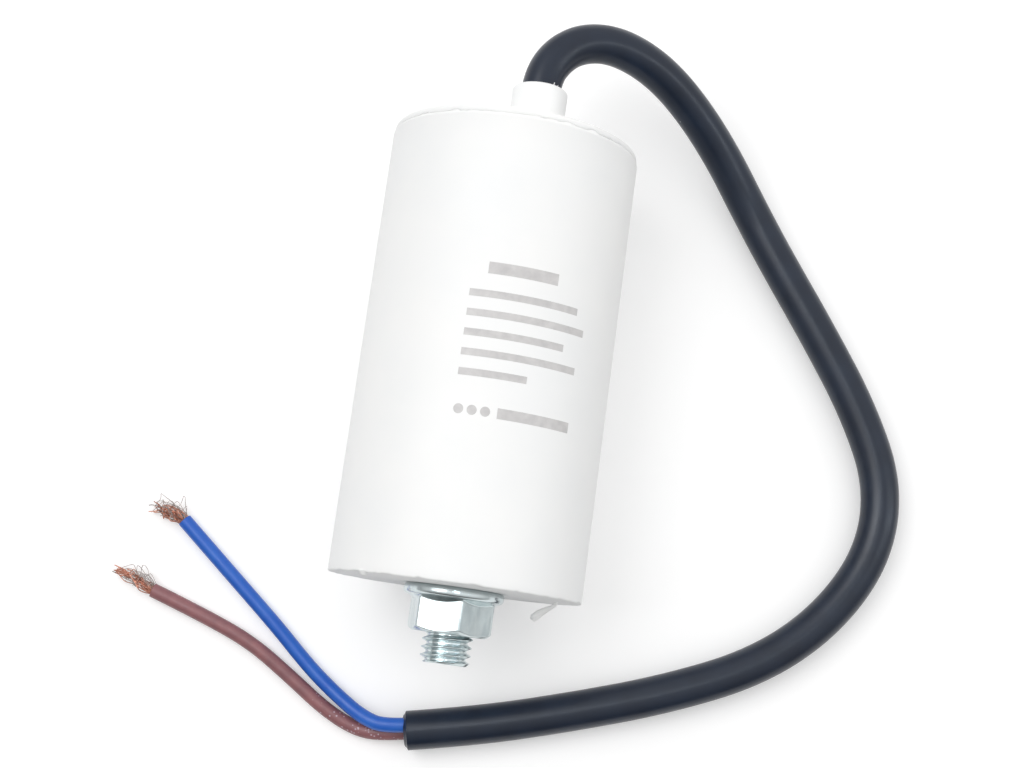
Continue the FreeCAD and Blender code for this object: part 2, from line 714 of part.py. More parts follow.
def make_cable():
    """Sheath from inside the lid to its cut end, then the two cores and their bare strands."""
    jacket = number(size("jacket_diameter"))
    core = number(size("core_diameter"))
    cable = lifted(CABLE_ROUTE, jacket)
    inner_end = number(FLOOR_Y) + number(TAIL_END)
    add_tube("cable_jacket", cable, jacket, run_back=cable[0].y - inner_end)
    way = (cable[-1] - cable[-2]).normalize()
    lean = math.radians(number(size("core_lean")))
    upward = Z * math.sin(lean) - Z.cross(way) * math.cos(lean)
    to_blue = upward * number(CORE_OFFSET)
    first_run = way * number(size("core_first_run"))
    for name, route, offset in (("blue", BLUE_ROUTE, to_blue), ("brown", BROWN_ROUTE, -to_blue)):
        start = cable[-1] + offset
        points = [start, start + first_run] + lifted(route, core)
        print(f"{name}_core starts at {[round(value, 2) for value in start]}")
        add_tube(f"{name}_core", points, core)
        make_strands(f"{name}_strands", points[-1], points[-1] - points[-2])


def make_strands(name, start, way):
    """The bare strands, as one tuft that is thickest in its middle."""
    copper = f"({size('conductor_diameter')} / 2)"
    middle = f"({size('strand_spread')} / 2)"
    length = size("strand_length")
    swell = size("strand_swell")
    body = doc.addObject("PartDesign::Body", name)
    body.Label = name
    add_turned(
        body,
        f"{name}_turned",
        [
            ("0", "0"),
            (copper, "0"),
            (middle, swell),
            (middle, f"({length} - {swell})"),
            (f"({size('strand_tip')} / 2)", length),
            ("0", length),
        ],
    )
    body.Placement = FreeCAD.Placement(start, FreeCAD.Rotation(Y, way))


def write_parts():
    """Checks every object of the document, then writes one file for each piece."""
    doc.recompute()
    for item in doc.Objects:
        if "Invalid" in item.State or "Error" in item.State:
            raise RuntimeError(f"{item.Name} failed: {item.State}")
    os.makedirs("parts", exist_ok=True)
    for name in PIECES:
        shape = doc.getObject(name).Shape
        if shape.isNull() or not shape.isValid() or len(shape.Solids) != 1:
            raise RuntimeError(f"{name}: not one valid solid")
    for name in PIECES:
        piece = doc.getObject(name)
        shape = piece.Shape
        shape.exportStep(f"parts/{piece.Label}.step")
        box = shape.BoundBox
        low = [round(value, 1) for value in (box.XMin, box.YMin, box.ZMin)]
        high = [round(value, 1) for value in (box.XMax, box.YMax, box.ZMax)]
        print(f"{piece.Label}: {shape.Volume:.1f} mm3, {len(shape.Faces)} faces, {low} to {high}")


PIECES = [
    "case",
    "lid",
    "mounting_stud",
    "flange_nut",
    "base_insulator",
    "lower_end_spray",
    "winding",
    "upper_end_spray",
    "mandrel",
    "outer_wrap",
    "potting",
    "blue_lead",
    "brown_lead",
    "blue_lead_conductor",
    "brown_lead_conductor",
    "blue_solder_joint",
    "brown_solder_joint",
    "cable_jacket",
    "blue_core",
    "brown_core",
    "blue_strands",
    "brown_strands",
]

make_case()
make_lid()
make_stud()
make_nut()
make_winding_pack()
make_leads()
make_solder_joint(
    "blue_solder_joint",
    size("lower_joint_x"),
    "0",
    PACK_UNDER,
    f"(-{size('lower_joint_height')})",
    "blue_lead_conductor",
)
make_solder_joint(
    "brown_solder_joint",
    BROWN_JOINT_X,
    size("entry_z"),
    PACK_TOP,
    size("upper_joint_height"),
    "brown_lead_conductor",
)
doc.recompute()
make_potting(["case", "blue_lead", "brown_lead", "brown_lead_conductor", "brown_solder_joint"])
make_cable()
write_parts()
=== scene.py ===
# %% [markdown]
# # A motor start capacitor
#
# The object is a round white plastic can. A threaded stud with a flange nut stands out of its floor, and a
# two-core cable comes out of its lid and ends in bare copper. A mechanical model of it is packed as a frame,
# in metres, with the can lying along Y. This script dresses that frame: each visible piece gets its final
# surface and finish where the frame says it is, and nothing in the frame is moved.

import json
import math
import random

import bmesh
import bpy
from mathutils import Matrix, Vector, noise


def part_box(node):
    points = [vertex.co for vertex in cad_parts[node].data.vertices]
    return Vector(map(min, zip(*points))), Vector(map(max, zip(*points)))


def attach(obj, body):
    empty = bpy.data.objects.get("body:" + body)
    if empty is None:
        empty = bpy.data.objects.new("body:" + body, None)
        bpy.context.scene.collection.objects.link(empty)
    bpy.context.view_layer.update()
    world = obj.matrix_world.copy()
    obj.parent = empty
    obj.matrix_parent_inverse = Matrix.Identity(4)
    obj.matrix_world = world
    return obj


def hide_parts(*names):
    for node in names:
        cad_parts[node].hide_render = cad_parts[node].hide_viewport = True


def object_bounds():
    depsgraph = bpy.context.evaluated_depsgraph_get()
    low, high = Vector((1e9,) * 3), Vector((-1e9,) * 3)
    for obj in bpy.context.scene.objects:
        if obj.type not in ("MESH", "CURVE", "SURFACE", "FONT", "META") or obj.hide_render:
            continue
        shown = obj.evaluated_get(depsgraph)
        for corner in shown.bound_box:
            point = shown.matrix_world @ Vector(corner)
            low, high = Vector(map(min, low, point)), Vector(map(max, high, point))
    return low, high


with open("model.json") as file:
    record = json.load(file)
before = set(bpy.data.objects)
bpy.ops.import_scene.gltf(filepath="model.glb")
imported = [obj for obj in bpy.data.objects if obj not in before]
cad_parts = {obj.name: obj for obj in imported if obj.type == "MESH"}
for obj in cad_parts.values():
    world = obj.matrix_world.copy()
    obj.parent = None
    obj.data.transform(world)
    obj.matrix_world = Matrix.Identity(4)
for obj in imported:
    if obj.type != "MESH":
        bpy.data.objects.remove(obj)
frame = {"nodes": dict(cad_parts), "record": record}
frame_low, frame_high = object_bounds()
nodes = frame["nodes"]
print("frame holds", len(nodes), "nodes")

# %% [markdown]
# ## Measures
#
# A maker measures the can in millimetres from its outer floor. The frame's boxes give the sizes that the
# pieces share, and `CAN` is the matrix that takes a point measured so, with the can's axis as Y, to its
# place in the frame. The cable boss stands beside that axis, and has a matrix of its own.

# %% Measures
MM = 0.001
case_low, case_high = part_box("case")
lid_low, lid_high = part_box("lid")
stud_low, stud_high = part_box("mounting_stud")
nut_low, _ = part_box("flange_nut")


def above_floor(y):
    """How far along the can a place in the frame is, in millimetres from the can's outer floor."""
    return (y - case_low.y) / MM


CAN_RADIUS = (case_high.z - case_low.z) / 2 / MM
RIM = above_floor(case_high.y)
SKIRT_END = above_floor(lid_low.y)
BOSS_TOP = above_floor(lid_high.y)
HEAD_TOP = above_floor(stud_high.y)
STUD_END = above_floor(stud_low.y)
NUT_END = above_floor(nut_low.y)
flange = (lid_high.z - lid_low.z) / 2 / MM

CAN = Matrix.Translation((0, case_low.y, case_low.z + CAN_RADIUS * MM)) @ Matrix.Scale(MM, 4)
ENTRY = Vector((2.7, 0, 3.0))
BOSS = CAN @ Matrix.Translation(ENTRY)
print("can", round(CAN_RADIUS * 2, 2), "mm across,", round(RIM, 2), "mm long")
print("stud reaches", round(-STUD_END, 2), "mm below the can's floor")

# %% [markdown]
# ## Camera
#
# The photograph looks down on the can from about 0.28 m, a little from the stud's side. Its place, its two
# turns and its lens were found by fitting the can's outline. The camera comes first, because it says whether
# the rest is seen from where it should be.

# %% Camera
CAMERA_PLACE = (4.56 * MM, -44.34 * MM, 279.41 * MM)
CAMERA_TILT = 9.38
CAMERA_ROLL = 7.78
CAMERA_LENS = 57.99
CAMERA_SENSOR = 36.0

camera_data = bpy.data.cameras.new("camera")
camera_data.lens = CAMERA_LENS
camera_data.sensor_width = CAMERA_SENSOR
camera_data.clip_start = 0.01
camera = bpy.data.objects.new("camera", camera_data)
bpy.context.scene.collection.objects.link(camera)
tilt = Matrix.Rotation(math.radians(CAMERA_TILT), 4, "X")
roll = Matrix.Rotation(math.radians(CAMERA_ROLL), 4, "Z")
camera.matrix_world = Matrix.Translation(CAMERA_PLACE) @ tilt @ roll
bpy.context.scene.camera = camera
print("camera is", round(CAMERA_PLACE[2], 3), "m above the table, with a", CAMERA_LENS, "mm lens")

# %% [markdown]
# ## Node helpers
#
# Every finish here is a node tree on the Principled shader. A plain colour looks like a drawing, so each one
# starts from noise that is read at the piece's own coordinates: it shifts the colour a little, makes the
# gloss uneven and raises a fine grain. These helpers each add what one step needs and return its output.

# %% Node helpers
NOISE_DETAIL = 3.0


def object_noise(tree, size_mm, stretch=(1, 1, 1)):
    """Noise whose lumps are about size_mm across, in the piece's own coordinates."""
    place = tree.nodes.new("ShaderNodeTexCoord")
    mapping = tree.nodes.new("ShaderNodeMapping")
    mapping.inputs["Scale"].default_value = stretch
    texture = tree.nodes.new("ShaderNodeTexNoise")
    texture.inputs["Scale"].default_value = 1 / (size_mm * MM)
    texture.inputs["Detail"].default_value = NOISE_DETAIL
    tree.links.new(place.outputs["Object"], mapping.inputs["Vector"])
    tree.links.new(mapping.outputs["Vector"], texture.inputs["Vector"])
    return texture.outputs["Fac"]


def ranged(tree, value, low, high, from_low=0.3, from_high=0.7):
    """Spreads the middle of a noise over low to high."""
    node = tree.nodes.new("ShaderNodeMapRange")
    node.inputs["From Min"].default_value = from_low
    node.inputs["From Max"].default_value = from_high
    node.inputs["To Min"].default_value = low
    node.inputs["To Max"].default_value = high
    tree.links.new(value, node.inputs["Value"])
    return node.outputs["Result"]


def blended(tree, factor, first, second):
    """A colour between two, where first or second is a colour or another node's output."""
    node = tree.nodes.new("ShaderNodeMix")
    node.data_type = "RGBA"
    tree.links.new(factor, node.inputs["Factor"])
    for socket, colour in ((node.inputs["A"], first), (node.inputs["B"], second)):
        if isinstance(colour, bpy.types.NodeSocket):
            tree.links.new(colour, socket)
        else:
            socket.default_value = (*colour, 1.0)
    return node.outputs["Result"]


def combined(tree, operation, *values):
    """What a Math node makes of its values, each a number or another node's output."""
    node = tree.nodes.new("ShaderNodeMath")
    node.operation = operation
    for socket, value in zip(node.inputs, values):
        if isinstance(value, bpy.types.NodeSocket):
            tree.links.new(value, socket)
        else:
            socket.default_value = value
    return node.outputs["Value"]


def grain(tree, shader, height, depth_mm):
    """Raises a height as fine relief on the surface."""
    node = tree.nodes.new("ShaderNodeBump")
    node.inputs["Distance"].default_value = depth_mm * MM
    tree.links.new(height, node.inputs["Height"])
    tree.links.new(node.outputs["Normal"], shader.inputs["Normal"])


# %% [markdown]
# ## Plain finishes
#
# Moulded, cast, extruded and metal surfaces differ in a few numbers: two close colours, how large their
# patches are, how gloss varies, and how coarse the grain is. One function makes them all, and the pieces
# that the eye meets first get more on top of it below.

# %% Plain finishes
GLOSS_PATCH = 0.6


def srgb(red, green, blue):
    """A colour as a picture's 0 to 255 values, in the linear values that a shader takes."""
    return tuple(((value / 255 + 0.055) / 1.055) ** 2.4 for value in (red, green, blue))


def plain_finish(name, colours, patch_mm, gloss, grain_mm, grain_depth, metallic=0.0, stretch=(1, 1, 1)):
    """A finish from two colours, a range of roughness and a grain. Returns material, tree and shader."""
    material = bpy.data.materials.new(name)
    material.use_nodes = True
    tree = material.node_tree
    shader = tree.nodes["Principled BSDF"]
    shader.inputs["Metallic"].default_value = metallic
    patches = ranged(tree, object_noise(tree, patch_mm, stretch=stretch), 0, 1)
    tree.links.new(blended(tree, patches, *colours), shader.inputs["Base Color"])
    sheen = ranged(tree, object_noise(tree, patch_mm * GLOSS_PATCH, stretch=stretch), *gloss)
    tree.links.new(sheen, shader.inputs["Roughness"])
    grain(tree, shader, object_noise(tree, grain_mm, stretch=stretch), grain_depth)
    return material, tree, shader


# %% [markdown]
# The pieces inside the can are sealed in, but a section through it shows them, so each still has its own
# finish: cream moulded insulators, grey sprayed zinc, silvery film, dark resin and bright solder.

# %% Finishes inside the can
finishes = {}
INNER_FINISHES = {
    "insulator_plastic": ((srgb(236, 228, 208), srgb(228, 219, 198)), 6.0, (0.42, 0.55), 0.4, 0.01, 0.0),
    "sprayed_zinc": ((srgb(150, 152, 155), srgb(182, 184, 187)), 0.8, (0.45, 0.7), 0.3, 0.08, 0.9),
    "metallised_film": ((srgb(206, 211, 220), srgb(190, 196, 208)), 5.0, (0.12, 0.25), 0.5, 0.01, 0.8),
    "sleeve_film": ((srgb(240, 238, 226), srgb(230, 227, 212)), 8.0, (0.1, 0.22), 1.5, 0.02, 0.0),
    "potting_resin": ((srgb(52, 49, 46), srgb(64, 60, 56)), 7.0, (0.25, 0.45), 1.2, 0.05, 0.0),
    "solder": ((srgb(206, 208, 211), srgb(178, 181, 186)), 1.2, (0.15, 0.4), 0.5, 0.05, 1.0),
}
for slot, (colours, patch, gloss, grain_size, depth, metal) in INNER_FINISHES.items():
    finishes[slot] = plain_finish(slot, colours, patch, gloss, grain_size, depth, metal)[0]
print("finishes inside:", sorted(finishes))

# %% [markdown]
# ## White plastic
#
# The can and lid are moulded in a bright white with a soft satin skin. The real surface is not clean: tiny
# dark specks lie in the plastic, each about a sixth of a millimetre. A Voronoi pattern gives every cell one
# point. Where the distance to it is small, and the cell's random colour is high, there is a speck.

# %% White plastic
SPECK_CORE = 0.7
GATE_WIDTH = 2


def add_specks(tree, shader, cell_mm, speck_mm, share, colour, beyond_mm=None):
    """Scatters small round specks over a finish, all over or only beyond a line across X."""
    clean = shader.inputs["Base Color"].links[0].from_socket
    place = tree.nodes.new("ShaderNodeTexCoord")
    cells = tree.nodes.new("ShaderNodeTexVoronoi")
    cells.inputs["Scale"].default_value = 1 / (cell_mm * MM)
    tree.links.new(place.outputs["Object"], cells.inputs["Vector"])
    edge = speck_mm / cell_mm
    near = ranged(tree, cells.outputs["Distance"], 1, 0, edge * SPECK_CORE, edge)
    pick = tree.nodes.new("ShaderNodeSeparateColor")
    tree.links.new(cells.outputs["Color"], pick.inputs["Color"])
    chosen = ranged(tree, pick.outputs["Red"], 0, 1, 1 - share, 1 - share + 0.001)
    shown = combined(tree, "MULTIPLY", near, chosen)
    if beyond_mm is not None:
        axes = tree.nodes.new("ShaderNodeSeparateXYZ")
        tree.links.new(place.outputs["Object"], axes.inputs["Vector"])
        gate = ranged(tree, axes.outputs["X"], 0, 1, (beyond_mm - GATE_WIDTH) * MM, beyond_mm * MM)
        shown = combined(tree, "MULTIPLY", shown, gate)
    tree.links.new(blended(tree, shown, clean, colour), shader.inputs["Base Color"])


white, tree, shader = plain_finish(
    "can_plastic", (srgb(247, 247, 246), srgb(243, 244, 244)), 14.0, (0.5, 0.6), 0.25, 0.004
)
add_specks(tree, shader, cell_mm=9.0, speck_mm=0.16, share=0.35, colour=srgb(150, 146, 140))
shader.inputs["IOR"].default_value = 1.46
finishes["can_plastic"] = white
finishes["print_ink"] = plain_finish(
    "print_ink", (srgb(210, 208, 207), srgb(194, 192, 192)), 1.4, (0.4, 0.5), 0.25, 0.004
)[0]
print("white plastic has", len(white.node_tree.nodes), "nodes")

# %% [markdown]
# ## Zinc plate
#
# Bright zinc is a bluish silver with a gloss between a mirror and satin. It could be given scratches and
# stains of its own, but what makes it look like metal is what it reflects. So the base stays simple, and
# faint lines drawn out along the stud, which come from stretched noise, roughen it unevenly.

# %% Zinc plate
ZINC_COLOURS = (srgb(214, 223, 224), srgb(196, 207, 209))
zinc = plain_finish(
    "zinc_plated_steel", ZINC_COLOURS, 1.6, (0.14, 0.26), 0.35, 0.006, metallic=1.0, stretch=(1, 0.3, 1)
)[0]
finishes["zinc_plated_steel"] = zinc
print("zinc has", len(zinc.node_tree.nodes), "nodes")

# %% [markdown]
# ## Cable finishes
#
# The sheath is soft black PVC with a blue cast and a broad sheen, and the cores are blue and dull brown. The
# brown core is scuffed near the sheath's end. Small mauve specks show that, made as the can's are and held
# back by a gate along X, and a few grey ones are dust on the sheath.

# %% Cable finishes
finishes["jacket_pvc"], tree, shader = plain_finish(
    "jacket_pvc", (srgb(15, 26, 43), srgb(22, 34, 52)), 5.0, (0.28, 0.36), 0.3, 0.012
)
shader.inputs["Specular IOR Level"].default_value = 0.42
add_specks(tree, shader, cell_mm=7.0, speck_mm=0.13, share=0.3, colour=srgb(150, 150, 156))
finishes["blue_insulation"] = plain_finish(
    "blue_insulation", (srgb(24, 88, 186), srgb(36, 100, 194)), 3.0, (0.3, 0.42), 0.3, 0.008
)[0]
finishes["brown_insulation"], tree, shader = plain_finish(
    "brown_insulation", (srgb(148, 98, 100), srgb(128, 86, 90)), 2.5, (0.36, 0.5), 0.25, 0.012
)
add_specks(
    tree, shader, cell_mm=0.55, speck_mm=0.17, share=0.42, colour=srgb(190, 168, 178), beyond_mm=-20
)
finishes["copper"] = plain_finish(
    "copper", (srgb(226, 168, 146), srgb(162, 104, 86)), 0.5, (0.28, 0.45), 0.2, 0.004, metallic=1.0
)[0]
finishes["tinned"] = plain_finish(
    "tinned", (srgb(186, 178, 174), srgb(138, 124, 118)), 0.6, (0.25, 0.45), 0.2, 0.004, metallic=1.0
)[0]
print("all finishes:", sorted(finishes))

# %% [markdown]
# The frame's own nodes take these finishes by the slot that the record names for each, so the sealed pieces
# are done in one loop.

# %% Dress the frame's nodes
for part in frame["record"]["subparts"]:
    node = nodes[part["node"]]
    for holder in node.material_slots:
        holder.material = finishes[part["material_slot"]]
print("dressed", len(nodes), "nodes")

# %% [markdown]
# ## Rings
#
# Everything round here could be spun from an outline. The can's pieces also have places that no plain spin
# gives: a hexagon pocket, a boss beside the axis, a wavy seam. So each piece is a stack of rings, whose reach
# and height may change with the turn. The first ring is a circle, and `extrude_edge_only` grows each next one
# from the last. Every vertex carries its place in the ring as a mark, which the extrusion copies, so that it
# can be put where its turn says.

# %% Rings
RING_COUNT = 192


def grow(bm, rings, count=RING_COUNT, closed=True):
    """Skins a stack of rings, each a function from a turn to a point. An open stack gets two caps."""
    mark = bm.verts.layers.int.get("mark") or bm.verts.layers.int.new("mark")
    ring = bmesh.ops.create_circle(bm, cap_ends=False, radius=1, segments=count)["verts"]
    for vert in ring:
        vert[mark] = round(math.atan2(vert.co.x, vert.co.y) / math.tau * count)
    loop = list(dict.fromkeys(edge for vert in ring for edge in vert.link_edges))
    first = loop
    for step, point in enumerate(rings):
        if step > 0:
            made = bmesh.ops.extrude_edge_only(bm, edges=loop)["geom"]
            ring = [item for item in made if isinstance(item, bmesh.types.BMVert)]
            fresh = set(ring)
            edges = [item for item in made if isinstance(item, bmesh.types.BMEdge)]
            loop = [edge for edge in edges if fresh.issuperset(edge.verts)]
        for vert in ring:
            vert.co = point(math.tau * vert[mark] / count)
    if closed:
        bmesh.ops.bridge_loops(bm, edges=first + loop)
    else:
        bmesh.ops.edgeloop_fill(bm, edges=first)
        bmesh.ops.edgeloop_fill(bm, edges=loop)


def turned(place, outline):
    """Rings round the Y axis of place. Each reach and height is a number or a function of the turn."""

    def ring(reach, height):
        def point(turn):
            radius = reach(turn) if callable(reach) else reach
            rise = height(turn) if callable(height) else height
            return place @ Vector((radius * math.sin(turn), rise, radius * math.cos(turn)))

        return point

    return [ring(reach, height) for reach, height in outline]


def along(points, radii):
    """Rings across a path of points in metres, for thin slivers. The radii are in millimetres."""
    rings = []
    for step, (centre, radius) in enumerate(zip(points, radii)):
        before = points[max(0, step - 1)]
        after = points[min(len(points) - 1, step + 1)]
        facing = (after - before).to_track_quat("Y", "Z").to_matrix().to_4x4()
        rings += turned(Matrix.Translation(centre) @ facing @ Matrix.Scale(MM, 4), [(radius, 0)])
    return rings


def finish_piece(bm, name, slot, node=None, crease=50):
    """Turns a bmesh into a piece that rides on the part and wears a finish."""
    bmesh.ops.recalc_face_normals(bm, faces=bm.faces)
    mesh = bpy.data.meshes.new(name)
    bm.to_mesh(mesh)
    bm.free()
    mesh.shade_smooth()
    mesh.set_sharp_from_angle(angle=math.radians(crease))
    mesh.materials.append(finishes[slot])
    piece = bpy.data.objects.new(name, mesh)
    bpy.context.scene.collection.objects.link(piece)
    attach(piece, "root")
    if node:
        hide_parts(node)
    print(name, "has", len(mesh.polygons), "faces")
    return piece


def arc(centre_reach, centre_height, radius, start, end, steps):
    """Points of a rounding, as (reach, height). 0 degrees points outward and 90 degrees up the can."""
    angles = [math.radians(start + (end - start) * step / steps) for step in range(steps + 1)]
    return [(centre_reach + radius * math.cos(a), centre_height + radius * math.sin(a)) for a in angles]


def hexagon(across):
    """The reach of a sharp hexagon with one flat square to Z, as a function of the turn."""
    sixth = math.pi / 3
    return lambda turn: across / 2 / math.cos((turn + sixth / 2) % sixth - sixth / 2)


# %% [markdown]
# ## The seam
#
# The lid is welded to the can, and the weld line is not a clean circle: it wanders by a few tenths of a
# millimetre and leaves a fine groove. Both the can's rim and the lid's flange follow one wave, so that they
# meet all the way round.

# %% The seam
SEAM_LUMPS = [(2.6, 4.0, 0.34), (9.0, 9.0, 0.34), (24.0, 1.5, 0.28)]
SEAM_LIMIT = 0.34
SEAM_GROOVE = 0.12


def ripple(turn, lumps, seed):
    """Smooth noise round a ring, from about -1 to 1, that meets itself after a full turn."""
    return noise.noise(Vector((lumps * math.cos(turn), lumps * math.sin(turn), seed)))


def ripples(turn, layers):
    """Several ripples added up. Each layer gives its lumps, its seed and its size in millimetres."""
    return sum(size * ripple(turn, lumps, seed) for lumps, seed, size in layers)


def seam(turn):
    """The weld line's height above the can's floor."""
    return RIM + max(-SEAM_LIMIT, min(SEAM_LIMIT, ripples(turn, SEAM_LUMPS)))


seam_heights = [seam(math.tau * step / RING_COUNT) for step in range(RING_COUNT)]
print("seam runs from", round(min(seam_heights), 2), "to", round(max(seam_heights), 2), "mm above the floor")

# %% [markdown]
# ## The can
#
# The can is a moulded shell: a straight wall, a small shoulder where the lid's flange sits, a thick floor
# with the stud's hole, and inside it the hub that holds the stud's hexagon head. The outside is built a few
# hundredths of a millimetre under size, which leaves room for the print. The wall is never quite true, and
# sinks by a few hundredths, which the long soft reflections show. The floor's edge is slightly ragged.

# %% The can
WALL = 1.8
FLOOR = 3.0
FLOOR_EDGE = 0.3
FLOOR_RINGS = [(14.0, 0), (19.0, 0)]
RAGGED = 0.4
RAGGED_LUMPS = [(9.0, 2.0, 0.8), (30.0, 5.0, 0.5)]
SHOULDER_HEIGHT = 0.5
SHOULDER_RADIUS = 0.725
STUD_HOLE = 4.1
HUB_RADIUS = 12.0
INNER_ROUND = 1.0
HEAD_POCKET = 13.2
UNDER_SIZE = 0.02
SINK = 0.04
SINK_LUMPS = 1.6
SINK_CLIMB = 0.05
LOW_WALL = 1.3
WALL_RINGS = 16

inner = CAN_RADIUS - WALL
outer = CAN_RADIUS - UNDER_SIZE


def wall_reach(height):
    """The outer wall's reach at one height, as a function of the turn."""
    return lambda turn: outer - SINK * (0.5 + 0.5 * ripple(turn, SINK_LUMPS, height * SINK_CLIMB))


def ragged(height):
    """A height near the floor's edge, pulled up a little here and there."""
    return lambda turn: height + RAGGED * max(0.0, ripples(turn, RAGGED_LUMPS))


shoulder_start = RIM - SHOULDER_HEIGHT
heights = [LOW_WALL + (shoulder_start - LOW_WALL) * step / WALL_RINGS for step in range(WALL_RINGS + 1)]
shoulder_turn = math.degrees(math.asin(SHOULDER_HEIGHT / SHOULDER_RADIUS))
shoulder = arc(outer - SHOULDER_RADIUS, shoulder_start, SHOULDER_RADIUS, 0, shoulder_turn, 6)[1:-1]
floor_edge = arc(outer - FLOOR_EDGE, FLOOR_EDGE, FLOOR_EDGE, -90, 0, 5)

outline = [(STUD_HOLE, 0)] + FLOOR_RINGS
outline += [(reach, ragged(height)) for reach, height in floor_edge]
outline += [(wall_reach(height), height) for height in heights]
outline += shoulder
outline += [(flange, lambda turn: seam(turn) - SEAM_GROOVE), (flange - SEAM_GROOVE, seam), (inner, seam)]
outline += [(inner, FLOOR + INNER_ROUND)]
outline += arc(inner - INNER_ROUND, FLOOR + INNER_ROUND, INNER_ROUND, 0, -90, 4)[1:]
outline += [(HUB_RADIUS, FLOOR), (HUB_RADIUS, HEAD_TOP), (hexagon(HEAD_POCKET), HEAD_TOP)]
outline += [(hexagon(HEAD_POCKET), FLOOR), (STUD_HOLE, FLOOR)]

bm = bmesh.new()
grow(bm, turned(CAN, outline))
finish_piece(bm, "case_shell", "can_plastic", "case")

# %% [markdown]
# ## The lid
#
# The lid is a plug: a flange on the rim, a skirt inside the wall, and the cable boss that is moulded on.
# The plate's rings run round the can's axis and the boss's rings round its own. On the plate's flat top the
# skin runs from a large ring to a small one beside its middle, which the marks on the vertices allow.

# %% The lid
LID_PLATE = 2.4
LID_ROUND = 0.8
SKIRT_OUTER = inner - 0.1
SKIRT_INNER = SKIRT_OUTER - 1.6
BOSS_RADIUS = 4.5
BOSS_HEIGHT = 8.8
BOSS_ROUND = 0.7
BORE = 3.35
MOUTH_BEVEL = 0.35
COLLAR_WIDTH = 0.7
COLLAR_HEIGHT = 1.3
COLLAR_STEP = 0.1
FOOT_FILLET = 0.3
PLATE_RING = 12.0
BOSS_RING = 3

lid_top = BOSS_TOP - BOSS_HEIGHT
plate_under = lid_top - LID_PLATE
collar = BOSS_RADIUS + COLLAR_WIDTH
collar_top = lid_top + COLLAR_HEIGHT

plate = [(SKIRT_INNER, SKIRT_END), (SKIRT_OUTER, SKIRT_END), (SKIRT_OUTER, seam)]
plate += [(flange - SEAM_GROOVE, seam), (flange, lambda turn: seam(turn) + SEAM_GROOVE)]
plate += arc(flange - LID_ROUND, lid_top - LID_ROUND, LID_ROUND, 0, 90, 6)
plate += [(PLATE_RING, lid_top)]
boss = arc(collar + FOOT_FILLET, lid_top + FOOT_FILLET, FOOT_FILLET, -90, -180, 4)
boss += arc(collar - FOOT_FILLET, collar_top - FOOT_FILLET, FOOT_FILLET, 0, 90, 4)
boss += [(BOSS_RADIUS + COLLAR_STEP, collar_top), (BOSS_RADIUS, collar_top + COLLAR_STEP)]
boss += [(BOSS_RADIUS, collar_top + BOSS_RING)]
boss += arc(BOSS_RADIUS - BOSS_ROUND, BOSS_TOP - BOSS_ROUND, BOSS_ROUND, 0, 90, 8)
boss += [(BORE + MOUTH_BEVEL, BOSS_TOP), (BORE, BOSS_TOP - MOUTH_BEVEL), (BORE, plate_under)]

bm = bmesh.new()
grow(bm, turned(CAN, plate) + turned(BOSS, boss) + turned(CAN, [(SKIRT_INNER, plate_under)]))
finish_piece(bm, "lid_plug", "can_plastic", "lid")

# %% [markdown]
# ## The stud
#
# An M8 thread has a pitch of 1.25 mm and is about 0.8 mm deep. It could be swept along a helix, but rings
# are enough: at each height and turn, the distance to the nearest crest of the helix says how far out the
# surface is. A right-handed thread climbs by one pitch in each turn from Z towards X. The bevel at the tip
# cuts all that stands outside a cone.

# %% The stud
PITCH = 1.25
THREAD_START = 0.35
THREAD_DEPTH = 0.79
THREAD_RADIUS = 4.0
SHANK_RADIUS = 3.595
TIP_BEVEL = 0.6
THREAD_TOP = NUT_END + 0.15
ROOT_SHARE = 0.25
FLANK_SHARE = 0.625
TIP_RINGS = [(0.5, STUD_END), (2.6, STUD_END)]
HEAD_ACROSS = 13.0
HEAD_RING = 2.0
STEPS_PER_PITCH = 16
STUD_COUNT = 144


def thread(height):
    """The thread's reach at one height, as a function of the turn."""

    def reach(turn):
        share = (height / PITCH - turn / math.tau + THREAD_START) % 1.0
        flank = (abs(2 * share - 1) - ROOT_SHARE) / FLANK_SHARE
        threaded = THREAD_RADIUS - THREAD_DEPTH * (1 - min(1.0, max(0.0, flank)))
        return min(threaded, THREAD_RADIUS - TIP_BEVEL + (height - STUD_END))

    return reach


thread_steps = round((THREAD_TOP - STUD_END) / PITCH * STEPS_PER_PITCH)
thread_rise = (THREAD_TOP - STUD_END) / thread_steps
thread_heights = [STUD_END + thread_rise * step for step in range(thread_steps + 1)]
outline = TIP_RINGS + [(thread(height), height) for height in thread_heights]
outline += [(SHANK_RADIUS, THREAD_TOP), (SHANK_RADIUS, FLOOR), (hexagon(HEAD_ACROSS), FLOOR)]
outline += [(hexagon(HEAD_ACROSS), HEAD_TOP), (HEAD_RING, HEAD_TOP)]

bm = bmesh.new()
grow(bm, turned(CAN, outline), STUD_COUNT, closed=False)
finish_piece(bm, "stud_thread", "zinc_plated_steel", "mounting_stud", crease=60)

# %% [markdown]
# ## The flange nut
#
# The nut is a hexagon, a cone that bevels its corners, and a dished flange. Each of the three has a simple
# reach of its own. The nut is what lies inside hexagon and bevel, or inside the flange. Taking the
# smaller and the larger reach softly, with a blend of a few hundredths of a millimetre, rounds every edge as
# pressing and plating do, and those rounded edges catch the light.

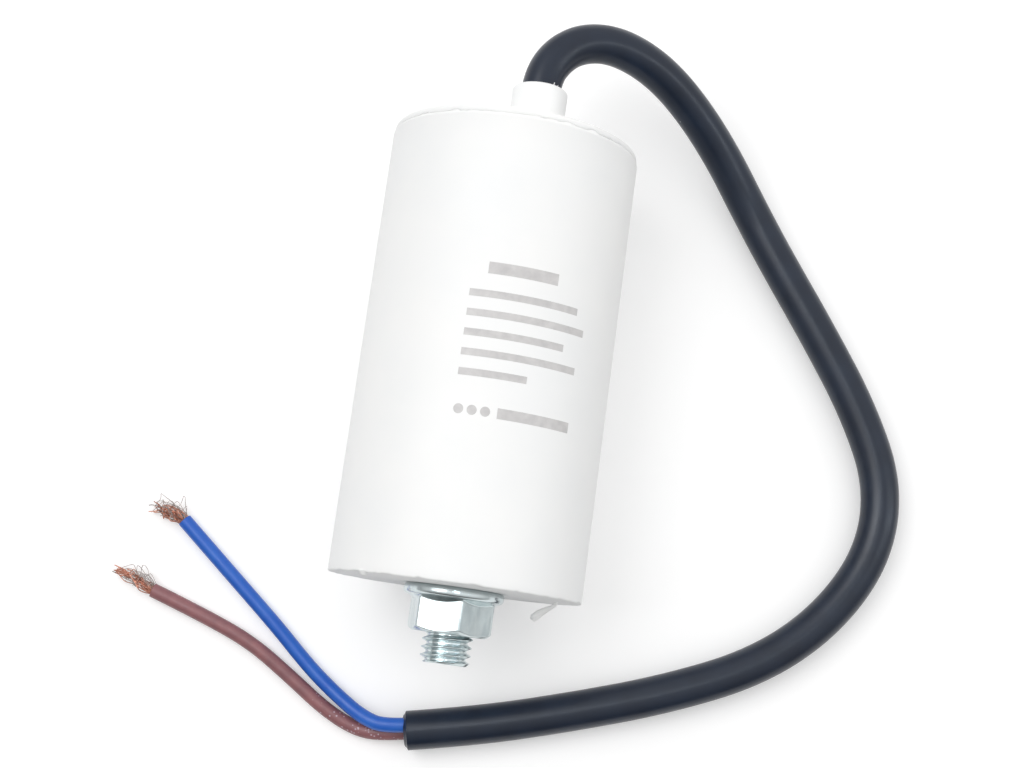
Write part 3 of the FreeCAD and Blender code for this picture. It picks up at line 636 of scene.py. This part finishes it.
# %% The flange nut
NUT_ACROSS = 12.0
NUT_TURN = math.radians(-17.5)
BEVEL_START = 5.75
BEVEL_SLOPE = math.tan(math.radians(60))
FLANGE_RADIUS = 7.9
FLANGE_UNDER_ROUND = 0.6
FLANGE_RIM = 1.0
FLANGE_TOP_ROUND = 0.7
FLANGE_HEIGHT = 2.4
NUT_BORE = 3.645
NUT_ENTRY = 0.6
END_RING = 5.55
CORNER_SHARPNESS = 90
EDGE_BLEND = 0.05
CONE_STEP = 0.06
CONE_STEPS = 21
SIDE_DEPTHS = [3.5, 4.5, 5.5, 6.0, 6.3]
BEVEL_STEPS = 14


def soft_hexagon(turn):
    """The reach of the nut's hexagon, with its corners rounded."""
    flats = [max(0.0, math.cos(turn - NUT_TURN - side * math.pi / 3)) for side in range(6)]
    return NUT_ACROSS / 2 / sum(flat**CORNER_SHARPNESS for flat in flats) ** (1 / CORNER_SHARPNESS)


def soft_smaller(a, b):
    """The smaller of two lengths, rounded off where they meet."""
    low = min(a, b)
    return low - EDGE_BLEND * math.log(math.exp((low - a) / EDGE_BLEND) + math.exp((low - b) / EDGE_BLEND))


def flange_reach(depth):
    """The nut flange's outline: a fully rounded rim, then a cone to the flats."""
    if depth < FLANGE_UNDER_ROUND:
        rise = FLANGE_UNDER_ROUND - depth
        return FLANGE_RADIUS - FLANGE_UNDER_ROUND + math.sqrt(FLANGE_UNDER_ROUND**2 - rise**2)
    if depth < FLANGE_RIM:
        return FLANGE_RADIUS
    top = FLANGE_RADIUS - FLANGE_TOP_ROUND
    if depth < FLANGE_RIM + FLANGE_TOP_ROUND:
        return top + math.sqrt(FLANGE_TOP_ROUND**2 - (depth - FLANGE_RIM) ** 2)
    cone = (top - NUT_ACROSS / 2) / (FLANGE_HEIGHT - FLANGE_RIM - FLANGE_TOP_ROUND)
    return top - (depth - FLANGE_RIM - FLANGE_TOP_ROUND) * cone


def nut_reach(depth):
    """The nut's reach at one depth below the can's floor, as a function of the turn."""

    def reach(turn):
        bevel = BEVEL_START + (-NUT_END - depth) * BEVEL_SLOPE
        body = soft_smaller(soft_hexagon(turn), bevel)
        return -soft_smaller(-body, -flange_reach(depth))

    return reach


quarter = [math.sin(math.radians(angle)) for angle in range(0, 91, 9)]
depths = [FLANGE_UNDER_ROUND * (1 - step) for step in reversed(quarter)]
depths += [FLANGE_RIM + FLANGE_TOP_ROUND * step for step in quarter]
cone_start = depths[-1]
depths += [cone_start + CONE_STEP * (step + 1) for step in range(CONE_STEPS)]
depths += SIDE_DEPTHS
bevel_depth = -NUT_END - SIDE_DEPTHS[-1]
depths += [SIDE_DEPTHS[-1] + bevel_depth * (step + 1) / BEVEL_STEPS for step in range(BEVEL_STEPS)]

outline = [(NUT_BORE, 0)]
outline += [(nut_reach(depth), -depth) for depth in depths]
outline += [(END_RING, NUT_END), (NUT_BORE + NUT_ENTRY, NUT_END), (NUT_BORE, NUT_END + NUT_ENTRY)]
bm = bmesh.new()
grow(bm, turned(CAN, outline))
finish_piece(bm, "nut_body", "zinc_plated_steel", "flange_nut", crease=40)

# %% [markdown]
# ## Left by the mould
#
# Small leftovers show that the can was moulded and not drawn: a curled tag of flash on the floor's edge, a
# bump beside it, and two slivers that were pushed up at the boss's mouth. Each is a short path with rings
# across it, which say how thick it is along the way.

# %% Left by the mould
FLASH_PATH = [
    (16.2, 0.4, -1.0), (15.9, -0.5, -1.2), (15.2, -1.0, -1.5), (14.4, -1.5, -1.8),
    (13.6, -2.1, -2.0), (12.9, -2.8, -2.1), (12.7, -3.2, -2.1),
]
FLASH_RADII = [0.34, 0.3, 0.36, 0.5, 0.62, 0.64, 0.38]
BUMP_PATH = [(-13.4, 0.4, 14.2), (-13.3, -0.1, 14.1), (-13.2, -0.45, 14.0)]
BUMP_RADII = [0.8, 0.6, 0.2]
BURR_PATHS = [
    [(1.9, -0.1, 2.85), (2.05, 0.25, 3.0), (2.1, 0.55, 3.1)],
    [(2.5, -0.1, 2.35), (2.65, 0.15, 2.45), (2.7, 0.35, 2.55)],
]
BURR_RADII = [0.12, 0.07, 0.03]

bm = bmesh.new()
grow(bm, along([CAN @ Vector(point) for point in FLASH_PATH], FLASH_RADII), 16, closed=False)
grow(bm, along([CAN @ Vector(point) for point in BUMP_PATH], BUMP_RADII), 16, closed=False)
for path in BURR_PATHS:
    points = [BOSS @ (Vector(point) + Vector((0, BOSS_TOP, 0))) for point in path]
    grow(bm, along(points, BURR_RADII), 8, closed=False)
finish_piece(bm, "mould_flash", "can_plastic", crease=70)

# %% [markdown]
# ## The print
#
# The can carries a pale grey print. Only its look matters here, so it is a layout of plain shapes: bars of
# several lengths and three dots. Each bar is a grid and each dot a disc, laid on the wall and lifted by a few
# thousandths of a millimetre, as ink is.

# %% The print
PRINT_LIFT = 0.006
PRINT_MIDDLE = above_floor(0)
PRINT_LEFT = -3.6
BARS = [
    (2.4, 12.2, 11.0, 1.8),
    (0.0, 8.2, 17.6, 1.1), (0.0, 5.2, 19.4, 1.1), (0.0, 2.2, 15.8, 1.1), (0.0, -0.8, 18.6, 1.1),
    (0.0, -3.8, 10.4, 1.1),
    (6.6, -9.4, 12.2, 1.6),
]
DOTS = [(0.8, -9.4, 0.75), (2.8, -9.4, 0.75), (4.8, -9.4, 0.75)]


def on_wall(around, height):
    """A point on the can's wall from its distance around, from the top, and its height above the floor."""
    turn = around / CAN_RADIUS
    reach = min(CAN_RADIUS - 0.001, wall_reach(height)(turn) + PRINT_LIFT)
    return CAN @ Vector((reach * math.sin(turn), height, reach * math.cos(turn)))


bm = bmesh.new()
for left, height, length, width in BARS:
    for vert in bmesh.ops.create_grid(bm, x_segments=32, y_segments=2, size=0.5)["verts"]:
        around = PRINT_LEFT + left + length * (vert.co.x + 0.5)
        vert.co = on_wall(around, PRINT_MIDDLE + height + vert.co.y * width)
for left, height, radius in DOTS:
    disc = bmesh.ops.create_circle(bm, cap_ends=True, cap_tris=True, radius=radius, segments=32)
    for vert in disc["verts"]:
        vert.co = on_wall(PRINT_LEFT + left + vert.co.x, PRINT_MIDDLE + height + vert.co.y)
finish_piece(bm, "print_marks", "print_ink", crease=60)

# %% [markdown]
# ## The cable
#
# The cable's route is the frame's, with a few points moved by up to a millimetre: straight out of the boss,
# over in an arch, down to the table and round the can. A NURBS curve of order 3 takes the points as its
# control points and turns them into one smooth line, and its bevel gives it its thickness. The last number
# of each point is how far the cord's underside is above the table.

# %% The cable's route
JACKET = 6.4
CORE = 2.4
CABLE_ROUTE = [
    (2.7, 44.8, 19.8), (2.7, 48.8, 19.8), (4.9, 53.1, 19.4), (8.3, 55.9, 18.3), (12.8, 57.1, 16.8),
    (18.0, 56.5, 14.6), (23.6, 54.4, 11.3), (29.5, 50.3, 7.3), (35.5, 44.5, 3.2), (41.0, 37.3, 0.4),
    (46.5, 29.3, 0.0), (55.5, 16.8, 0.0), (63.5, 4.8, 0.0), (69.0, -7.2, 0.0), (68.5, -19.2, 0.0),
    (62.0, -30.7, 0.0), (51.5, -40.0, 0.0), (36.5, -46.7, 0.0), (20.0, -52.0, 0.0), (6.0, -55.9, 0.0),
    (-4.8, -58.1, 0.0),
]
BLUE_ROUTE = [
    (-12.4, -56.9, 1.8), (-16.6, -54.4, 0.6), (-22.1, -50.4, 0.0), (-28.8, -44.2, 0.0),
    (-37.2, -37.1, 0.0), (-46.8, -28.9, 0.0),
]
BROWN_ROUTE = [
    (-13.0, -59.2, 0.1), (-18.8, -56.6, 0.0), (-25.3, -52.1, 0.0), (-32.4, -47.5, 0.0),
    (-41.0, -44.1, 0.0), (-50.1, -41.1, 0.0),
]


def lifted(route, diameter):
    """A route's points at the cord's middle, in metres."""
    return [Vector((x, y, lift + diameter / 2)) * MM for x, y, lift in route]


def round_cord(name, points, diameter, slot, node):
    """A smooth round cord whose control points are the route's."""
    curve = bpy.data.curves.new(name, "CURVE")
    curve.dimensions = "3D"
    curve.bevel_depth = diameter / 2 * MM
    curve.bevel_resolution = 10
    curve.resolution_u = 14
    curve.use_fill_caps = True
    spline = curve.splines.new("NURBS")
    spline.points.add(len(points) - 1)
    for target, point in zip(spline.points, points):
        target.co = (*point, 1.0)
    spline.order_u = 3
    spline.use_endpoint_u = True
    curve.materials.append(finishes[slot])
    piece = bpy.data.objects.new(name, curve)
    bpy.context.scene.collection.objects.link(piece)
    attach(piece, "root")
    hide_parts(node)
    print(name, "follows", len(points), "points")
    return piece


cable_points = lifted(CABLE_ROUTE, JACKET)
jacket = round_cord("sheath", cable_points, JACKET, "jacket_pvc", "cable_jacket")

# %% [markdown]
# The two cores leave the cut end side by side, blue over brown, along a line that leans by 60 degrees.
# The pair sits a little off the sheath's middle, and each core starts inside the sheath, so no gap shows.

# %% The cores
CORE_LEAN = math.radians(60)
CORE_APART = 1.25
CORE_SHIFT = 0.3
FIRST_RUN = 3.6
INSIDE_SHEATH = 1.5

cut_end = cable_points[-1]
way = (cable_points[-1] - cable_points[-2]).normalized()
across = Vector((0, 0, 1)).cross(way)
to_blue = (Vector((0, 0, 1)) * math.sin(CORE_LEAN) - across * math.cos(CORE_LEAN)) * CORE_APART * MM


def core_points(route, offset):
    """A core's control points, from inside the sheath to its bare end."""
    start = cut_end + offset - across * CORE_SHIFT * MM
    return [start - way * INSIDE_SHEATH * MM, start + way * FIRST_RUN * MM] + lifted(route, CORE)


blue_points = core_points(BLUE_ROUTE, to_blue)
brown_points = core_points(BROWN_ROUTE, -to_blue)
blue = round_cord("blue_wire", blue_points, CORE, "blue_insulation", "blue_core")
brown = round_cord("brown_wire", brown_points, CORE, "brown_insulation", "brown_core")

# %% [markdown]
# The knife left the sheath's end slightly domed, with a rounded edge and a paler cut face. A short stack of
# rings across the cable's way closes the end that the cores come out of.

# %% The sheath's cut end
END_OUTLINE = [(1.0, -0.6), (3.0, -0.6), (3.19, -0.1), (3.19, 0.02), (3.0, 0.08), (2.75, 0.22), (2.55, 0.42),
               (2.3, 0.54), (0.6, 0.5)]

facing = way.to_track_quat("Y", "Z").to_matrix().to_4x4()
bm = bmesh.new()
grow(bm, turned(Matrix.Translation(cut_end) @ facing @ Matrix.Scale(MM, 4), END_OUTLINE), 64, closed=False)
finish_piece(bm, "sheath_end", "jacket_pvc", crease=60)

# %% [markdown]
# ## Bare copper
#
# Each core ends in 24 bare strands, each up to a fifth of a millimetre thick. They leave the insulation
# packed and slightly twisted, bend over, and then each curls its own way, by a smooth noise along it.
# Every sixth is dull with tin, and so are a few more, thinner to the eye, that stand off the bundle as loops.
# Every strand is a short smooth spline of one curve object. Fixed seeds, for the draws and for the noise,
# which would start from the clock, make them fall the same way each time.

# %% Bare copper
STRAND = 0.2
STRAND_COUNT = 24
STRAND_STEPS = 9
DULL_EVERY = 6
LOOSE_COUNT = 12
LOOSE_THICKNESS = 0.46
LOOSE_LENGTH = 0.85
LOOSE_CURL = 1.4
TUCKED = 0.8
NOISE_SEED = 5
SHORTEST = 0.72
THINNEST = 0.7
WAVES = 3.2
BENT_BY = 1.6
SWOLLEN_BY = 1.1
OFF_TABLE = 0.6 * STRAND * MM
LEFT_LIMIT = frame_low.x + 0.3 * MM


noise.seed_set(NOISE_SEED)


def strand_points(draw, start, way, bend, length, twist, swell, curl, lift):
    """One strand of a tuft, from inside the insulation to its tip."""
    side = Vector((0, 0, 1)).cross(way)
    angle = draw.uniform(0, math.tau)
    reach = 0.5 * math.sqrt(draw.random())
    seed = draw.uniform(0, 100)
    own_length = length * draw.uniform(SHORTEST, 1.0)
    spine = start - way * TUCKED * MM
    points = []
    for step in range(STRAND_STEPS + 1):
        share = step / STRAND_STEPS
        turned_by = angle + twist * share
        radius = reach * (1 + swell * math.sin(math.pi * min(1.0, share * SWOLLEN_BY)))
        curled = noise.noise_vector(Vector((seed, share * WAVES, 0))) * curl * share
        offset = side * (radius * math.cos(turned_by)) + Vector((0, 0, radius * math.sin(turned_by)))
        point = spine + (offset + curled + lift * math.sin(math.pi * share)) * MM
        point.z = max(OFF_TABLE, point.z)
        point.x = max(LEFT_LIMIT, point.x)
        points.append(point)
        heading = way.lerp(bend, min(1.0, share * BENT_BY)).normalized()
        spine = spine + heading * (own_length + TUCKED) / STRAND_STEPS * MM
    return points


def add_strand(curve, points, material_index, thickness):
    """Adds one strand to a curve object as a smooth open spline."""
    spline = curve.splines.new("NURBS")
    spline.points.add(len(points) - 1)
    for target, point in zip(spline.points, points):
        target.co = (*point, 1.0)
        target.radius = thickness
    spline.order_u = 3
    spline.use_endpoint_u = True
    spline.material_index = material_index


def tuft(name, core, seed, bend, length, twist, swell, curl, loose, node):
    """All the strands of one core's bare end, and the loose ones that stand off it."""
    draw = random.Random(seed)
    curve = bpy.data.curves.new(name, "CURVE")
    curve.dimensions = "3D"
    curve.bevel_depth = STRAND / 2 * MM
    curve.bevel_resolution = 2
    curve.resolution_u = 5
    curve.use_fill_caps = True
    curve.materials.append(finishes["copper"])
    curve.materials.append(finishes["tinned"])
    start = core[-1]
    way = (core[-1] - core[-2]).normalized()
    bend = Vector(bend).normalized()
    for number in range(STRAND_COUNT):
        dull = number % DULL_EVERY == 0
        points = strand_points(draw, start, way, bend, length, twist, swell, curl, Vector((0, 0, 0)))
        add_strand(curve, points, int(dull), draw.uniform(THINNEST, 1.0))
    for _ in range(LOOSE_COUNT):
        lift = Vector(loose) * draw.uniform(0.3, 1.0)
        points = strand_points(
            draw, start, way, bend, length * LOOSE_LENGTH, twist, swell, curl * LOOSE_CURL, lift
        )
        add_strand(curve, points, 1, LOOSE_THICKNESS)
    piece = bpy.data.objects.new(name, curve)
    bpy.context.scene.collection.objects.link(piece)
    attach(piece, "root")
    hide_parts(node)
    print(name, "has", len(curve.splines), "strands")
    return piece


BLUE_BEND = (-1.0, 0.15, 0.12)
BROWN_BEND = (-1.0, 0.42, 0.1)
BLUE_LOOSE = (-0.4, 2.6, 1.0)
BROWN_LOOSE = (0.1, 2.2, 1.0)
blue_tuft = tuft("blue_copper", blue_points, 5, BLUE_BEND, 5.5, 2.4, 1.8, 2.5, BLUE_LOOSE, "blue_strands")
brown_tuft = tuft(
    "brown_copper", brown_points, 7, BROWN_BEND, 7.3, 2.6, 1.5, 1.4, BROWN_LOOSE, "brown_strands"
)

# %% [markdown]
# The sheath was cut back, so the cores go on from its end, and their copper is bare.

# %% [markdown]
# ## Table
#
# The table is white and matt. A sheet of white paper under lamps never reaches pure white in a picture, so
# rays from the camera and mirrored rays see a little glow on top of the lit surface, and the shadow stays.
# Stronger lamps would do it too, but they would burn out the white can. Far from the object the camera sees
# more of the glow, so that the table's edge melts into the white behind it.

# %% Table
TABLE_SIZE = 1.6
TABLE_DROP = 0.02
PAPER_WHITE = 0.84
TABLE_GLOW = 0.24
FAR_GLOW = 0.6
FAR_FROM = 0.2
FAR_TO = 0.6

bm = bmesh.new()
bmesh.ops.create_grid(bm, x_segments=1, y_segments=1, size=TABLE_SIZE / 2)
bmesh.ops.translate(bm, verts=bm.verts, vec=(0, 0, -TABLE_DROP * MM))
mesh = bpy.data.meshes.new("table")
bm.to_mesh(mesh)
bm.free()
table = bpy.data.objects.new("table", mesh)
bpy.context.scene.collection.objects.link(table)

paper = bpy.data.materials.new("paper")
paper.use_nodes = True
tree = paper.node_tree
tree.nodes.remove(tree.nodes["Principled BSDF"])
matt = tree.nodes.new("ShaderNodeBsdfDiffuse")
matt.inputs["Color"].default_value = (PAPER_WHITE, PAPER_WHITE, PAPER_WHITE, 1)
place = tree.nodes.new("ShaderNodeTexCoord")
away = tree.nodes.new("ShaderNodeVectorMath")
away.operation = "LENGTH"
tree.links.new(place.outputs["Object"], away.inputs[0])
far = ranged(tree, away.outputs["Value"], 0, FAR_GLOW, FAR_FROM, FAR_TO)
rays = tree.nodes.new("ShaderNodeLightPath")
to_camera = rays.outputs["Is Camera Ray"]
seen = combined(tree, "MAXIMUM", to_camera, rays.outputs["Is Glossy Ray"])
near_glow = combined(tree, "MULTIPLY", seen, TABLE_GLOW)
glow = tree.nodes.new("ShaderNodeEmission")
tree.links.new(combined(tree, "MULTIPLY_ADD", far, to_camera, near_glow), glow.inputs["Strength"])
together = tree.nodes.new("ShaderNodeAddShader")
tree.links.new(matt.outputs["BSDF"], together.inputs[0])
tree.links.new(glow.outputs["Emission"], together.inputs[1])
tree.links.new(together.outputs["Shader"], tree.nodes["Material Output"].inputs["Surface"])
mesh.materials.append(paper)
print("table is", TABLE_SIZE, "m wide")

# %% [markdown]
# ## Light
#
# A photographer's tent lights such a thing: one large soft lamp at the upper left, and bright cloth all
# round. The world stands for the cloth. It is brightest above and behind, and its left side glows mainly in
# reflections, which keeps the nut's facets apart. Two narrow lamps, seen only in reflections too, draw the
# pale lines along the sheath.

# %% Lamps
KEY_PLACE = Vector((-0.36, 0.10, 0.60))
KEY_AIM = Vector((0, 0, 0.02))
KEY_SIZE = 0.5
KEY_POWER = 1.6
STRIP_AIM = Vector((0.067, -0.017, 0.006))
STRIPS = {"strip_left": Vector((-0.27, 0.10, 0.956)), "strip_right": Vector((0.79, 0.10, 0.60))}
STRIP_FAR = 0.6
STRIP_SIZE = (0.02, 0.5)
STRIP_POWER = 0.42
STRIP_COLOUR = (0.84, 0.92, 1.0)


def area_lamp(name, shape, power, place, heading):
    """An area lamp at a place, which shines along heading."""
    data = bpy.data.lights.new(name, "AREA")
    data.shape = shape
    data.energy = power
    lamp = bpy.data.objects.new(name, data)
    bpy.context.scene.collection.objects.link(lamp)
    lamp.location = place
    lamp.rotation_euler = heading.to_track_quat("-Z", "Y").to_euler()
    return lamp


key = area_lamp("key", "DISK", KEY_POWER, KEY_PLACE, KEY_AIM - KEY_PLACE)
key.data.size = KEY_SIZE
for name, heading in STRIPS.items():
    strip = area_lamp(name, "RECTANGLE", STRIP_POWER, STRIP_AIM + heading * STRIP_FAR, -heading)
    strip.data.size, strip.data.size_y = STRIP_SIZE
    strip.data.color = STRIP_COLOUR
    strip.visible_diffuse = False
    strip.visible_camera = False
print("lamps:", sorted(light.name for light in bpy.data.lights))

# %% World
BRIGHT_SIDE = Vector((0.32, 0.46, 0.86))
WORLD_DARK = 0.06
WORLD_BRIGHT = 1.1
DARK_AT = -0.2
BRIGHT_AT = 0.86
LEFT_SIDE = Vector((-1.0, 0.05, 0.2))
LEFT_MIRRORED = 0.34
LEFT_ON_ALL = 0.05
LEFT_FROM = 0.25
LEFT_FULL = 0.9


def toward(tree, side):
    """How far a ray heads to one side of the world, from -1 to 1."""
    direction = tree.nodes.new("ShaderNodeTexCoord")
    facing = tree.nodes.new("ShaderNodeVectorMath")
    facing.operation = "DOT_PRODUCT"
    facing.inputs[1].default_value = side.normalized()
    tree.links.new(direction.outputs["Generated"], facing.inputs[0])
    return facing.outputs["Value"]


world = bpy.data.worlds.new("studio")
bpy.context.scene.world = world
world.use_nodes = True
tree = world.node_tree
backdrop = tree.nodes["Background"]
backdrop.inputs["Color"].default_value = (1.0, 1.0, 1.0, 1.0)
rays = tree.nodes.new("ShaderNodeLightPath")
shade = ranged(tree, toward(tree, BRIGHT_SIDE), WORLD_DARK, WORLD_BRIGHT, DARK_AT, BRIGHT_AT)
leftward = ranged(tree, toward(tree, LEFT_SIDE), 0, 1, LEFT_FROM, LEFT_FULL)
left_glow = combined(tree, "MULTIPLY_ADD", rays.outputs["Is Glossy Ray"], LEFT_MIRRORED, LEFT_ON_ALL)
cloth = combined(tree, "MULTIPLY_ADD", leftward, left_glow, shade)
strength = combined(tree, "MAXIMUM", cloth, rays.outputs["Is Camera Ray"])
tree.links.new(strength, backdrop.inputs["Strength"])

bpy.context.scene.view_settings.view_transform = "Standard"
print("world has", len(tree.nodes), "nodes")
